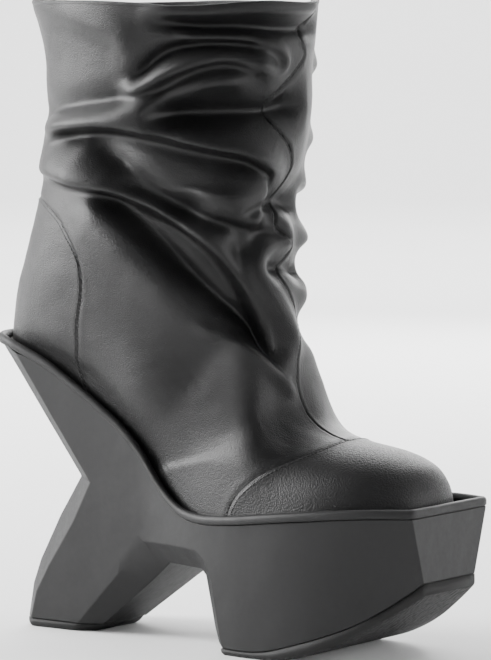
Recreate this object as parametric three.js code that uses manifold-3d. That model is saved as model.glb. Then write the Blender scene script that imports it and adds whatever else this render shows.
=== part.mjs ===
// Slouched pull-on ankle boot for the right foot, on a K-shaped platform sole.
// Millimetres, +Z up, +X towards the toe, the outer (lateral) side towards -Y.
// Stations are measured from the back of the heel; the group is centred over the ground at the end.
import * as THREE from "three";
import { mergeVertices } from "three/addons/utils/BufferGeometryUtils.js";
import Module from "manifold-3d";

const wasm = await Module();
wasm.setup();

// Fits and layer thicknesses
const GAP = 0.3;
const LEATHER = 1.4;
const BACKER = 1.2;
const LINING = 1.0;
const BACKER_INSET = LEATHER + GAP;
const LINING_INSET = BACKER_INSET + BACKER + GAP;
const INSIDE_INSET = LINING_INSET + LINING;

// Whole boot
const BOOT_HEIGHT = 305;
const TOE_FRONT = 253.5;
const WALL_HALF_WIDTH = 31;
const EDGE_BEVEL = 6.5;
const RIM_HEIGHT = 4;
const RIM_WIDTH = 4;
const RIM_PROUD = 0.5;
const TOP_LIFT = 4;
const FAR = 400;
const SEAT_STEP = 8;

// Top of the sole unit, from the heel seat down the arch to the raised toe: [x, z]
const SEAT_LINE = faceted([
  [-2, 139.4], [8, 138.9], [20.5, 136.7], [30, 133.2], [42, 128.3], [60, 118], [76, 107.8],
  [90, 97.5], [101, 86.6], [109, 77], [118, 68.6], [128, 63], [140, 60.9], [155, 61.4],
  [185, 64.8], [205, 67], [230, 69.2], [258, 70],
]);
// Half width of the sole along its length: [x, y]
const SOLE_HALF = curve([
  [88, 31], [96, 31], [104, 31.5], [118, 35], [135, 40], [155, 44.6], [175, 47], [190, 47.6], [208, 46.4],
  [228, 42.2], [243, 36.4], [256, 31],
]);
// Half width of the leather where it meets the sole: [x, y]
const UPPER_HALF = curve([
  [5.4, 3], [8, 12], [13, 18.6], [22, 24], [34, 26.4], [60, 26.8], [95, 27.4], [118, 31], [135, 36],
  [155, 40.4], [175, 42.8], [190, 43.2], [207, 41.4], [222, 36.4], [234, 29.2], [241.5, 22.2], [245.6, 15.6],
  [248.2, 7],
]);
// Top of the foot, under the ankle and out to the toe: [x, z]
const INSTEP_LINE = curve([
  [5.4, 158], [24, 168], [90, 170], [150, 168], [162, 160], [169, 140], [175, 119], [183, 108],
  [195, 102], [210, 98.6], [225, 96], [236, 92], [244, 86.6], [248.2, 80],
]);
// Shaft: height, middle, half depth, half width
const SHAFT = [
  [141, 87, 80.5, 25], [156, 87, 79.6, 37], [171, 87, 76.4, 43], [211, 90.6, 66.5, 46],
  [250, 98.5, 69.5, 49.5], [300, 97.6, 75, 53], [320, 97.6, 75, 53],
];
// Parting line between the platform and its outsole, and the bottom of the outsole
const PARTING_LINE = curve([
  [150, 3.1], [162, 3], [172, 3.2], [181, 4.4], [190, 6.8], [200, 9.8], [211, 13.6], [224, 18.9],
  [240, 28.9], [248, 34.9], [257, 42.5],
]);
const TREAD_LINE = curve([
  [184, 0], [192, 1.4], [202, 3.9], [213, 8.2], [228, 16], [240, 23.8], [250, 31], [257, 36.6],
]);
const TREAD_FLAT_END = 184;
// Inward lean of the sole's walls, in mm per mm below the seat: [x, lean]
const WALL_LEAN = curve([[-10, 0.06], [60, 0.06], [130, 0.06], [170, 0.062], [210, 0.1], [230, 0.16],
  [245, 0.25], [258, 0.37]]);

const TOE_CAP_BACK = 150.5;
const INSTEP_TOP = 112;
const TOE_CAP_EDGE = [[TOE_CAP_BACK, 62], [174, 84], [197, 98.5], [199, INSTEP_TOP]];
const COUNTER_FRONT = 72;
const COUNTER_EDGE = [
  [COUNTER_FRONT, 100], [66.3, 121.5], [64.2, 130], [65.8, 154.7], [65, 170], [60.3, 186.6], [50, 199.3],
  [38, 209.5], [10, 213], [-20, 213],
];
const FACING_DEPTH = 20;
const FEATHER_DROP = 9;

const leatherBlack = finish(0x1d1c1c, 0.42);
const pebbledBlack = finish(0x191818, 0.5);
const soleBlack = finish(0x2c2c2c, 0.6);
const outsoleBlack = finish(0x1c1c1c, 0.8);
const liningBlack = finish(0x24211f, 0.75);
const backerGrey = finish(0x8a8276, 0.9);
const boardBrown = finish(0x8b6b45, 0.9);
const foamGrey = finish(0x55565a, 0.95);
const corkBrown = finish(0xa07a4c, 0.95);
const steelGrey = finish(0x9a9da0, 0.35, 0.9);

function finish(color, roughness, metalness = 0) {
  return new THREE.MeshStandardMaterial({ color, roughness, metalness });
}

// A smooth line through [x, value] points, as a function of x.
function curve(points) {
  const line = new THREE.SplineCurve(points.map(([x, v]) => new THREE.Vector2(x, v)));
  const samples = line.getPoints(points.length * 8);
  return (x) => {
    const i = samples.findIndex((p) => p.x >= x);
    if (i < 0) return samples[samples.length - 1].y;
    if (i === 0) return samples[0].y;
    const [a, b] = [samples[i - 1], samples[i]];
    return a.y + ((b.y - a.y) * (x - a.x)) / Math.max(b.x - a.x, 1e-9);
  };
}

// The same line in straight steps, so that every layer that follows it has the same facets.
function faceted(points) {
  const smooth = curve(points);
  return (x) => {
    const from = Math.floor(x / SEAT_STEP) * SEAT_STEP;
    const share = (x - from) / SEAT_STEP;
    return smooth(from) * (1 - share) + smooth(from + SEAT_STEP) * share;
  };
}

function solid(geometry) {
  const plain = geometry.clone();
  plain.deleteAttribute("normal");
  plain.deleteAttribute("uv");
  const merged = mergeVertices(plain, 1e-4);
  return new wasm.Manifold(new wasm.Mesh({
    numProp: 3,
    vertProperties: new Float32Array(merged.attributes.position.array),
    triVerts: new Uint32Array(merged.index.array),
  }));
}

function largestBody(body) {
  const bodies = body.decompose();
  return bodies.reduce((big, next) => (next.volume() > big.volume() ? next : big));
}

function part(name, body, material) {
  const { vertProperties, triVerts } = largestBody(body).getMesh();
  const geometry = new THREE.BufferGeometry();
  geometry.setAttribute("position", new THREE.BufferAttribute(new Float32Array(vertProperties), 3));
  geometry.setIndex(new THREE.BufferAttribute(new Uint32Array(triVerts), 1));
  geometry.computeVertexNormals();
  const mesh = new THREE.Mesh(geometry, material);
  mesh.name = name;
  return mesh;
}

// A closed skin through rings of [x, y, z] points, each ring with the same number of points.
function loft(rings, capTriangles) {
  const count = rings[0].length;
  const index = [];
  for (let r = 0; r + 1 < rings.length; r++) {
    for (let k = 0; k < count; k++) {
      const [a, b] = [r * count + k, r * count + ((k + 1) % count)];
      index.push(a, b, b + count, a, b + count, a + count);
    }
  }
  const last = (rings.length - 1) * count;
  for (const [a, b, c] of capTriangles) {
    index.push(a, c, b);
    index.push(last + a, last + b, last + c);
  }
  const geometry = new THREE.BufferGeometry();
  geometry.setAttribute("position", new THREE.Float32BufferAttribute(rings.flat(2), 3));
  geometry.setIndex(index);
  const body = solid(geometry);
  if (body.volume() > 0) return body;
  geometry.setIndex(index.reverse());
  return solid(geometry);
}

function fan(count) {
  const triangles = [];
  for (let k = 1; k + 1 < count; k++) triangles.push([0, k, k + 1]);
  return triangles;
}

// A side outline of [x, z] points, carried across the boot.
function acrossBoot(points, fromY = -FAR, toY = FAR) {
  const shape = new THREE.Shape(points.map(([x, z]) => new THREE.Vector2(x, z)));
  const geometry = new THREE.ExtrudeGeometry(shape, { depth: toY - fromY, bevelEnabled: false });
  geometry.rotateX(Math.PI / 2);
  geometry.translate(0, toY, 0);
  return solid(geometry);
}

// Both ends, and every step of the seat line between them.
function stations(from, to) {
  const xs = [from];
  for (let x = SEAT_STEP * Math.ceil((from + 0.5) / SEAT_STEP); x < to - 0.5; x += SEAT_STEP) xs.push(x);
  return [...xs, to];
}

function below(line, lift, from = -60, to = 320) {
  const top = stations(from, to).map((x) => [x, line(x) + lift]);
  return acrossBoot([[from, -FAR], ...top, [to, -FAR]]);
}

function slab(fromZ, toZ) {
  return acrossBoot([[-FAR, fromZ], [FAR, fromZ], [FAR, toZ], [-FAR, toZ]]);
}

function cylinder(x, y, radius, fromZ, toZ) {
  const geometry = new THREE.CylinderGeometry(radius, radius, toZ - fromZ, 12);
  geometry.rotateX(Math.PI / 2);
  geometry.translate(x, y, (fromZ + toZ) / 2);
  return solid(geometry);
}

// --- Sole unit -------------------------------------------------------------------------------

// The K-shaped heel: one outline on its side faces, a larger one behind the bevels and a slightly
// crowned one on the middle line.
function kHeel() {
  const face = [
    [4.9, 160], [24.3, 134.1], [46.1, 103.2], [67.2, 74.1], [55.3, 54], [38.4, 31.3], [29.5, 17.7],
    [25.2, 3.4], [24.8, -6], [46.4, -6], [100.2, 48], [128, 48], [128, 100], [70, 160],
  ];
  const bevelled = [
    [-5.5, 160], [12, 137.6], [37.5, 102.2], [56.8, 75.9], [42.1, 55.5], [28.5, 32.9], [23, 21],
    [19.6, 3.1], [19.2, -6], [54.5, -6], [113, 38.2], [128, 38.2], [128, 100], [70, 160],
  ];
  const crown = bevelled.map(([x, z], i) => (i < 4 ? [x - 5, z] : [x, z]));
  const side = (outline, sign, inset) =>
    outline.map(([x, z]) => [x, sign * (heelHalf(x, z) - inset), z]);
  const rings = [
    side(face, -1, 0), side(bevelled, -1, EDGE_BEVEL), crown.map(([x, z]) => [x, 0, z]),
    side(bevelled, 1, EDGE_BEVEL), side(face, 1, 0),
  ];
  const caps = THREE.ShapeUtils.triangulateShape(face.map(([x, z]) => new THREE.Vector2(x, z)), []);
  return loft(rings, caps);
}

// The walls lean in from the seat towards the ground.
function heelHalf(x, z) {
  return WALL_HALF_WIDTH - WALL_LEAN(x) * Math.max(SEAT_LINE(x) - z, 0);
}

// Arch and forefoot: [station, bottom of the side wall, bottom of the middle, bevel].
function forefootBlock() {
  const archStations = [
    [96, 48, 38.2, 6], [104, 48, 38.2, 6.5], [118, 48, 38.2, 7], [130, 48, 38.2, 7], [138, 47.4, 38.2, 7],
    [142, 44, 35, 7], [145, 34, 25, 6.4], [148, 20, 11, 5.4], [151.5, 8, 3.2, 3.4],
  ];
  const frontStations = [156, 164, 172, 181, 190, 200, 211, 222, 233, 244, TOE_FRONT]
    .map((x) => [x, PARTING_LINE(x), PARTING_LINE(x), 0.4]);
  const rings = [...archStations, ...frontStations].map(([x, wall, middle, bevel]) => {
    const half = SOLE_HALF(x);
    const top = SEAT_LINE(x) + 12;
    const foot = half - WALL_LEAN(x) * (SEAT_LINE(x) - wall);
    const lip = middle - 0.01;
    return [
      [x, -half, top], [x, -half, SEAT_LINE(x)], [x, -foot, wall], [x, -foot + bevel, lip],
      [x, foot - bevel, lip], [x, foot, wall], [x, half, SEAT_LINE(x)], [x, half, top],
    ];
  });
  return loft(rings, fan(8));
}

function outsole() {
  const xs = [152, 156, 164, 174, TREAD_FLAT_END, 192, 201, 211, 222, 233, 244, TOE_FRONT];
  const rings = xs.map((x) => {
    const half = SOLE_HALF(x) - WALL_LEAN(x) * (SEAT_LINE(x) - PARTING_LINE(x));
    const top = PARTING_LINE(x) - GAP;
    const bottom = x <= TREAD_FLAT_END ? 0 : TREAD_LINE(x);
    return [[x, -half, top], [x, -half + 0.8, bottom], [x, half - 0.8, bottom], [x, half, top]];
  });
  return loft(rings, fan(4));
}

// Half outline of the rim, from the back of the heel to the toe corner: [x, y].
const RIM_HALF = [
  [0, 0], [1, 8.5], [3.8, 16.5], [9, 24], [16, 29], [25, 31.4], [45, 32], [70, 32], [92, 32],
  [104, 32.8], [118, 36.2], [135, 41.2], [155, 45.8], [175, 48.2], [190, 48.8], [208, 47.6],
  [228, 43.2], [243, 37], [253, 33],
];

// The raised lip round the seat: a rounded bar, bent round the outline.
function rimBand() {
  const plan = new THREE.SplineCurve(RIM_HALF.map(([x, y]) => new THREE.Vector2(x, y))).getPoints(30);
  const front = TOE_FRONT + RIM_PROUD;
  const half = [...plan, new THREE.Vector2(front, 32), new THREE.Vector2(front, 14)];
  const outline = [...half, ...half.slice(1).reverse().map((p) => new THREE.Vector2(p.x, -p.y))];
  const count = outline.length;
  const rings = outline.map((p, i) => {
    const before = outline[(i + count - 1) % count];
    const after = outline[(i + 1) % count];
    const along = after.clone().sub(before).normalize();
    const inwards = new THREE.Vector2(-along.y, along.x);
    const middle = new THREE.Vector2(110, 0).sub(p);
    if (inwards.dot(middle) < 0) inwards.negate();
    const section = [[0, 2 * GAP], [0, RIM_HEIGHT - 1], [1.1, RIM_HEIGHT], [RIM_WIDTH - 0.8, RIM_HEIGHT],
      [RIM_WIDTH, RIM_HEIGHT - 1], [RIM_WIDTH, 2 * GAP]];
    return section.map(([depth, up]) => {
      const q = p.clone().addScaledVector(inwards, depth);
      return [q.x, q.y, SEAT_LINE(q.x) + up];
    });
  });
  return closedLoop(rings);
}

// A ring of sections joined end to end.
function closedLoop(rings) {
  const [count, around] = [rings[0].length, rings.length];
  const index = [];
  for (let r = 0; r < around; r++) {
    const next = (r + 1) % around;
    for (let k = 0; k < count; k++) {
      const j = (k + 1) % count;
      const [a, b, c, d] = [r * count + k, r * count + j, next * count + j, next * count + k];
      index.push(a, b, c, a, c, d);
    }
  }
  const geometry = new THREE.BufferGeometry();
  geometry.setAttribute("position", new THREE.Float32BufferAttribute(rings.flat(2), 3));
  geometry.setIndex(index);
  const body = solid(geometry);
  if (body.volume() > 0) return body;
  geometry.setIndex(index.reverse());
  return solid(geometry);
}

// --- Bottom stack: everything between the sole unit and the foot --------------------------------

// A layer that follows the seat, between two heights above it.
function bedLayer(from, to, half, low, high) {
  const rings = stations(from, to).map((x) => {
    const [y, z] = [half(x), SEAT_LINE(x)];
    return [[x, -y, z + high], [x, -y, z + low], [x, y, z + low], [x, y, z + high]];
  });
  return loft(rings, fan(4));
}

const BED_FROM = 6;
const BED_TO = 248;
const FILLER_INSET = INSIDE_INSET + 6;
const SHANK_TOP = 1.8;
const BOARD_LOW = SHANK_TOP + GAP;
const BOARD_TOP = BOARD_LOW + 2.2;
const FOAM_TOP = BOARD_TOP + GAP + 3;
const SOCK_TOP = FOAM_TOP + GAP + 1;
const NAILS = [[21, 9], [21, -9], [38, 13], [38, -13]];
const RIVETS = [52, 134];
const PAD_FROM = 21;
const PAD_TO = 57;

function heelNail([x, y]) {
  const head = SEAT_LINE(x) + BOARD_TOP - 1.3;
  return cylinder(x, y, 2.4, head - 1, head).add(cylinder(x, y, 1.2, head - 14, head - 0.5));
}

function shankRivet(x) {
  const z = SEAT_LINE(x);
  return cylinder(x, 0, 1.6, z + 1.4, z + BOARD_TOP - 0.9);
}

function padHalf(x) {
  const share = (x - PAD_FROM) / (PAD_TO - PAD_FROM);
  return 2 + 12 * Math.sqrt(Math.max(Math.sin(Math.PI * share), 0));
}

function heelPad() {
  const rings = stations(PAD_FROM, PAD_TO).map((x) => {
    const [y, z] = [padHalf(x), SEAT_LINE(x)];
    return [[x, -y, z + FOAM_TOP - 0.1], [x, -y, z + BOARD_TOP + GAP], [x, y, z + BOARD_TOP + GAP],
      [x, y, z + FOAM_TOP - 0.1]];
  });
  return loft(rings, fan(4));
}

function heelPadPocket() {
  const rings = stations(PAD_FROM, PAD_TO).map((padX) => {
    const x = padX === PAD_FROM ? padX - GAP : padX === PAD_TO ? padX + GAP : padX;
    const y = padHalf(padX) + 2 * GAP;
    return [[x, -y, FAR], [x, -y, 0], [x, y, 0], [x, y, FAR]];
  });
  return loft(rings, fan(4));
}

// --- Upper ---------------------------------------------------------------------------------------

// Each section starts a little under the seat, so that every layer has the same shape there.
function footLoft(inset) {
  const xs = [5.4, 9, 20, 44, 78, 104, 126, 148, 166, 180, 200, 220, 234, 243.5, 248.2];
  const points = 12;
  const rings = xs.map((x) => {
    const ends = inset * (Math.max((20 - x) / 14.6, 0) - Math.max((x - 220) / 28.2, 0));
    const half = Math.max(UPPER_HALF(x) - inset, 0.6);
    const low = SEAT_LINE(x) - FEATHER_DROP;
    const high = Math.max(INSTEP_LINE(x) - inset, low + 3);
    return Array.from({ length: points }, (_, k) => {
      const angle = (Math.PI * k) / (points - 1);
      const side = Math.sign(Math.cos(angle)) * Math.abs(Math.cos(angle)) ** 0.8;
      return [x + ends, -half * side, low + (high - low) * Math.max(Math.sin(angle), 0) ** 0.62];
    });
  });
  return loft(rings, fan(points));
}

function shaftLoft(inset, top) {
  const around = 22;
  const levels = SHAFT.filter(([z]) => z < top);
  const last = SHAFT[levels.length];
  const cut = [...levels, [top, last[1], last[2], last[3]]];
  const rings = cut.map(([z, middle, depth, width]) =>
    Array.from({ length: around }, (_, k) => {
      const angle = (2 * Math.PI * k) / around;
      return [middle + (depth - inset) * Math.cos(angle), (width - inset) * Math.sin(angle), z];
    }));
  return loft(rings, fan(around));
}

// The boot's body, as a full solid, some way in from its outer face.
function bodySolid(inset, top) {
  return footLoft(inset).add(shaftLoft(inset, top));
}

function shell(from, thickness) {
  const outer = bodySolid(from, BOOT_HEIGHT).subtract(below(SEAT_LINE, 2 * GAP));
  const inner = bodySolid(from + thickness, BOOT_HEIGHT + 10);
  return outer.subtract(inner);
}

function region(edge, shift, close) {
  return acrossBoot([...edge.map(([x, z]) => [x + shift, z + shift * 0.3]), ...close]);
}

function panels(skin) {
  const toeClose = (shift) => [[FAR, INSTEP_TOP], [FAR, -FAR], [TOE_CAP_BACK + shift, -FAR]];
  const heelClose = [[-FAR, -FAR], [COUNTER_FRONT, -FAR]];
  const toe = region(TOE_CAP_EDGE, GAP / 2, toeClose(GAP / 2));
  const toeRoom = region(TOE_CAP_EDGE, -GAP / 2, toeClose(-GAP / 2));
  const heel = region(COUNTER_EDGE, -GAP / 2, heelClose);
  const heelRoom = region(COUNTER_EDGE, GAP / 2, heelClose);
  const lateral = halfBoot(-FAR, -GAP / 2);
  const medial = halfBoot(GAP / 2, FAR);
  const sides = skin.subtract(toeRoom).subtract(heelRoom);
  return {
    toe: skin.intersect(toe),
    heel: skin.intersect(heel),
    lateral: sides.intersect(lateral),
    medial: sides.intersect(medial),
  };
}

function halfBoot(fromY, toY) {
  return acrossBoot([[-FAR, -FAR], [FAR, -FAR], [FAR, FAR], [-FAR, FAR]], fromY, toY);
}

// --- Assembly --------------------------------------------------------------------------------------

const boot = new THREE.Group();
const roomInside = bodySolid(INSIDE_INSET + GAP, BOOT_HEIGHT);
const bed = (low, high) => bedLayer(BED_FROM, BED_TO, UPPER_HALF, low, high).intersect(roomInside);

const heelBody = kHeel();
const seatCut = slab(0, FAR).subtract(below(SEAT_LINE, 0));
const nailHoles = NAILS.map(([x, y]) => cylinder(x, y, 1.2 + GAP, SEAT_LINE(x) - 16, FAR));
const unit = heelBody.subtract(slab(-FAR, TOP_LIFT)).add(forefootBlock()).subtract(seatCut);
boot.add(part("platform_unit", nailHoles.reduce((a, hole) => a.subtract(hole), unit), soleBlack));
boot.add(part("heel_top_lift", heelBody.intersect(slab(0, TOP_LIFT - GAP)), outsoleBlack));
boot.add(part("forefoot_outsole", outsole(), outsoleBlack));
boot.add(part("rim_band", rimBand(), soleBlack));

const rivetHoles = RIVETS.map((x) => cylinder(x, 0, 1.6 + GAP, 0, FAR));
const headHoles = NAILS.map(([x, y]) => cylinder(x, y, 2.4 + GAP, 0, FAR));
const pierce = (body, holes) => holes.reduce((a, hole) => a.subtract(hole), body);
boot.add(part("steel_shank", pierce(bedLayer(30, 142, () => 6, GAP, SHANK_TOP), rivetHoles), steelGrey));
boot.add(part("cork_filler", bedLayer(152, 232, (x) => UPPER_HALF(x) - FILLER_INSET, GAP, SHANK_TOP), corkBrown));
const board = bed(BOARD_LOW, BOARD_TOP);
boot.add(part("insole_board", pierce(board, [...rivetHoles, ...headHoles]), boardBrown));
NAILS.forEach((at, i) => boot.add(part(`heel_seat_nail_${i + 1}`, heelNail(at), steelGrey)));
RIVETS.forEach((x, i) => boot.add(part(`shank_rivet_${i + 1}`, shankRivet(x), steelGrey)));
const foam = bed(BOARD_TOP + GAP, FOAM_TOP);
boot.add(part("footbed_foam", foam.subtract(heelPadPocket()), foamGrey));
boot.add(part("heel_pad", heelPad(), foamGrey));
boot.add(part("sock_lining", bed(FOAM_TOP + GAP, SOCK_TOP), liningBlack));

const outer = panels(shell(0, LEATHER));
boot.add(part("toe_cap", outer.toe, pebbledBlack));
boot.add(part("heel_panel", outer.heel, leatherBlack));
boot.add(part("side_panel_lateral", outer.lateral, leatherBlack));
boot.add(part("side_panel_medial", outer.medial, leatherBlack));

const facingBottom = BOOT_HEIGHT - FACING_DEPTH;
const belowFacing = slab(-FAR, facingBottom - GAP);
const facing = shell(BACKER_INSET, BACKER + GAP + LINING).intersect(slab(facingBottom, FAR));
boot.add(part("collar_facing", facing, leatherBlack));

const middle = panels(shell(BACKER_INSET, BACKER).intersect(belowFacing));
boot.add(part("toe_puff", middle.toe, backerGrey));
boot.add(part("heel_counter", middle.heel, backerGrey));
boot.add(part("interlining_lateral", middle.lateral, backerGrey));
boot.add(part("interlining_medial", middle.medial, backerGrey));

const inside = panels(shell(LINING_INSET, LINING).intersect(belowFacing));
boot.add(part("vamp_lining", inside.toe, liningBlack));
boot.add(part("heel_lining", inside.heel, liningBlack));
boot.add(part("quarter_lining_lateral", inside.lateral, liningBlack));
boot.add(part("quarter_lining_medial", inside.medial, liningBlack));

const box = new THREE.Box3().setFromObject(boot);
boot.position.set(-(box.min.x + box.max.x) / 2, 0, -box.min.z);

export default boot;
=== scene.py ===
import bmesh
import bpy
import math
import numpy as np
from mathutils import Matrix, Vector, geometry, noise
from mathutils.bvhtree import BVHTree


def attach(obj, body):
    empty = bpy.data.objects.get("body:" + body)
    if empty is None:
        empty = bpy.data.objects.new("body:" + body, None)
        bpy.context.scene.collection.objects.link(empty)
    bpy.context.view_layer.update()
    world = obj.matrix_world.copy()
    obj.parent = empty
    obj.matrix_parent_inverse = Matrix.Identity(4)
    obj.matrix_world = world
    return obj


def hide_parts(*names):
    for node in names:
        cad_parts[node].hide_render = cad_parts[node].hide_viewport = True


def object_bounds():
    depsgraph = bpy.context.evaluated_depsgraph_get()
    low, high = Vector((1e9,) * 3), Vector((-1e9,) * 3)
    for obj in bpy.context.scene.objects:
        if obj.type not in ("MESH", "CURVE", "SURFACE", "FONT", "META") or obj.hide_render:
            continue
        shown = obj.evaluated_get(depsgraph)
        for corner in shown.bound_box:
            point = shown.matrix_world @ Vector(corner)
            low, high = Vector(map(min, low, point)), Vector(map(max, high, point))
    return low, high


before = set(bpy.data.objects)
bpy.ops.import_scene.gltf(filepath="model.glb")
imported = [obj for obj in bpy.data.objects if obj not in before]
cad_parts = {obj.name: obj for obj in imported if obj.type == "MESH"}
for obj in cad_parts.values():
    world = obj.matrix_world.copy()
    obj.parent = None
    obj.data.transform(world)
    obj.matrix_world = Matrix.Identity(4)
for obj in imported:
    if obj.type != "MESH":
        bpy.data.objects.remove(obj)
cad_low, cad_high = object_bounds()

# --- Studio ------------------------------------------------------------------------------------
# A pale, round paper bowl lit from above by six softboxes, with a strong softbox on the heel side and
# three weaker ones. The camera has a long lens, on the outer side and 35 degrees round to the toe.
heel_x = cad_low.x
camera_turn = math.radians(35)
camera_rise = math.radians(4.5)
camera_distance = 1.85
look_at = Vector((heel_x + 0.1389, 0, 0.14885))
towards_camera = Vector((
    math.sin(camera_turn) * math.cos(camera_rise),
    -math.cos(camera_turn) * math.cos(camera_rise),
    math.sin(camera_rise)))
camera_data = bpy.data.cameras.new("camera")
camera_data.sensor_width = 36
camera_data.lens = 212.7
camera_data.clip_end = 30
camera = bpy.data.objects.new("camera", camera_data)
camera.location = look_at + towards_camera * camera_distance
camera.rotation_euler = towards_camera.to_track_quat("Z", "Y").to_euler()
bpy.context.collection.objects.link(camera)
bpy.context.scene.camera = camera


def softbox(name, place, aim, width, height, power):
    data = bpy.data.lights.new(name, "AREA")
    data.shape = "RECTANGLE"
    data.size, data.size_y, data.energy = width, height, power
    lamp = bpy.data.objects.new(name, data)
    lamp.location = place
    lamp.rotation_euler = (Vector(place) - Vector(aim)).to_track_quat("Z", "Y").to_euler()
    bpy.context.collection.objects.link(lamp)


softbox("heel_side_softbox", (-1.6, -0.7, 0.8), (0, 0, 0.2), 0.8, 1.2, 96)
softbox("toe_side_softbox", (1.6, 0.5, 0.35), (0, 0, 0.06), 0.5, 0.5, 9)
softbox("overhead_softbox", (-1.0, 0.1, 1.5), (0, 0, 0.2), 0.8, 0.8, 8)
softbox("inner_side_softbox", (-0.6, 1.6, 0.9), (0, 0, 0.2), 0.9, 1.2, 24)
for turn, power in ((20, 110), (65, 190), (125, 330), (185, 120), (245, 45), (305, 40)):
    side = Vector((math.cos(math.radians(turn)), math.sin(math.radians(turn)), 0))
    hung, aimed = side * 2.2 + Vector((0, 0, 3.2)), side * 5.4 + Vector((0, 0, 0.2))
    softbox(f"bowl_softbox_{turn}", hung, aimed, 2.5, 1.5, power)

world = bpy.data.worlds.new("studio")
world.use_nodes = True
world.node_tree.nodes["Background"].inputs[0].default_value = (0.9, 0.92, 0.95, 1)
world.node_tree.nodes["Background"].inputs[1].default_value = 0.1
bpy.context.scene.world = world


# Sockets and nodes of a material, so that its maths reads as plain expressions.
class Socket:
    def __init__(self, finish, out):
        self.finish, self.out = finish, out

    def maths(self, operation, *others):
        terms = dict(enumerate((self, *others)))
        return self.finish.node("ShaderNodeMath", {"operation": operation}, terms)

    def __add__(self, other):
        return self.maths("ADD", other)

    def __mul__(self, other):
        return self.maths("MULTIPLY", other)

    def __rsub__(self, other):
        return self.finish.node("ShaderNodeMath", {"operation": "SUBTRACT"}, {0: other, 1: self})

    __radd__ = __add__
    __rmul__ = __mul__


class Finish:
    def __init__(self, name, roughness, metallic=0.0, specular=0.5):
        self.material = bpy.data.materials.new(name)
        self.material.use_nodes = True
        self.tree = self.material.node_tree
        self.shader = self.tree.nodes["Principled BSDF"]
        self.shader.inputs["Roughness"].default_value = roughness
        self.shader.inputs["Metallic"].default_value = metallic
        self.shader.inputs["Specular IOR Level"].default_value = specular
        self.place = self.node("ShaderNodeTexCoord", {}, {}, "Object")

    def put(self, socket, value):
        if isinstance(value, Socket):
            self.tree.links.new(value.out, socket)
        elif isinstance(value, tuple) and len(value) == 3 and socket.type == "RGBA":
            socket.default_value = (*value, 1)
        else:
            socket.default_value = value

    def node(self, kind, settings, sockets, out=0):
        made = self.tree.nodes.new(kind)
        for key, value in settings.items():
            setattr(made, key, value)
        for key, value in sockets.items():
            self.put(made.inputs[key], value)
        return Socket(self, made.outputs[out])

    def noise(self, per_metre, detail=2.0):
        return self.node("ShaderNodeTexNoise", {}, {
            "Vector": self.place, "Scale": per_metre, "Detail": detail})

    def cells(self, per_metre):
        return self.node("ShaderNodeTexVoronoi", {}, {"Vector": self.place, "Scale": per_metre})

    def blend(self, share, first, second):
        return self.node("ShaderNodeMix", {"data_type": "RGBA"}, {0: share, 6: first, 7: second}, 2)

    def colour(self, value):
        self.put(self.shader.inputs["Base Color"], value)

    def roughness(self, value):
        self.put(self.shader.inputs["Roughness"], value)

    def bump(self, height, depth, before=None):
        sockets = {"Height": height, "Distance": depth, "Strength": 1.0}
        if before is not None:
            sockets["Normal"] = before
        made = self.node("ShaderNodeBump", {}, sockets)
        self.put(self.shader.inputs["Normal"], made)
        return made


def new_piece(name, vertices, faces, material):
    mesh = bpy.data.meshes.new(name)
    mesh.from_pydata([tuple(v) for v in vertices], [], [tuple(f) for f in faces])
    mesh.materials.append(material)
    mesh.shade_smooth()
    mesh.update()
    piece = bpy.data.objects.new(name, mesh)
    bpy.context.collection.objects.link(piece)
    return piece


paper = Finish("pale_paper", 0.9, specular=0.1)
paper.colour(paper.blend(paper.noise(3), (0.86, 0.86, 0.86), (0.89, 0.89, 0.89)))
bowl_flat, bowl_curve, bowl_sides = 4.6, 1.6, 96
bowl_profile = [(1, 0), (bowl_flat, 0)]
for lean in np.linspace(0.1, math.pi / 2, 12):
    bowl_profile.append((bowl_flat + bowl_curve * math.sin(lean), bowl_curve - bowl_curve * math.cos(lean)))
bowl_profile.append((6.3, 4.2))
bowl_turns = np.linspace(0, 2 * math.pi, bowl_sides, endpoint=False)
floor = new_piece(
    "paper_bowl",
    [(r * math.cos(a), r * math.sin(a), z) for r, z in bowl_profile for a in bowl_turns],
    [(ring + bowl_sides + k, ring + bowl_sides + (k + 1) % bowl_sides, ring + (k + 1) % bowl_sides, ring + k)
     for ring in range(0, bowl_sides * (len(bowl_profile) - 1), bowl_sides)
     for k in range(bowl_sides)] + [tuple(range(bowl_sides))],
    paper.material)

# --- Sole unit -----------------------------------------------------------------------------------
# The K-shaped platform is one matt black polyurethane moulding. Its walls lean in towards the
# ground, and the cut-outs behind and under the arch have wide bevelled edges.
# Outlines are in millimetres: x from the back of the heel, z from the ground.


def line(points):
    """A smooth curve through [x, value] points, as a function of x."""
    xs, vs = np.array(points, float).T
    slopes = np.gradient(vs, xs)

    def value(x):
        x = np.clip(x, xs[0], xs[-1])
        i = np.clip(np.searchsorted(xs, x) - 1, 0, len(xs) - 2)
        width = xs[i + 1] - xs[i]
        t = (x - xs[i]) / width
        return ((2 * t**3 - 3 * t**2 + 1) * vs[i] + (t**3 - 2 * t**2 + t) * width * slopes[i]
                + (3 * t**2 - 2 * t**3) * vs[i + 1] + (t**3 - t**2) * width * slopes[i + 1])
    return value


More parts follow.
